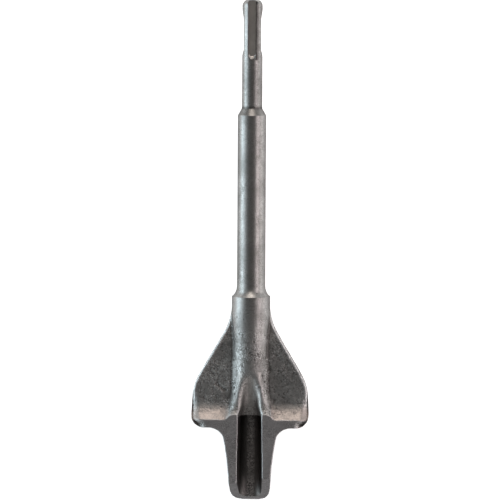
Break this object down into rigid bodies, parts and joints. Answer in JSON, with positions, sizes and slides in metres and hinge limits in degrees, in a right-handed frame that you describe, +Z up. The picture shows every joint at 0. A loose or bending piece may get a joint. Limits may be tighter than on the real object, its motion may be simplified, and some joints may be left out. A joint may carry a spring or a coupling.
{
  "type": "winged gouge chisel",
  "caption": "Forged steel gouge chisel for a rotary hammer: slotted round shank, thicker stem, broad wings and a deep U-shaped blade with a chip channel.",
  "frame": {"origin": "centre of the shank's struck end face, on the tool's axis", "axes": "+Y out of the struck end along the tool's axis, with the blade towards -Y; +Z up, out of the open chip channel; +X to the right, seen from above with the shank at the top"},
  "size_m": [0.0582, 0.25, 0.019],
  "materials": {
    "forged_steel": "shot-blasted forged tool steel, satin grey, with ground front flat and bevel"
  },
  "bodies": {
    "root": {"chisel": "forged_steel"}
  },
  "joints": []
}
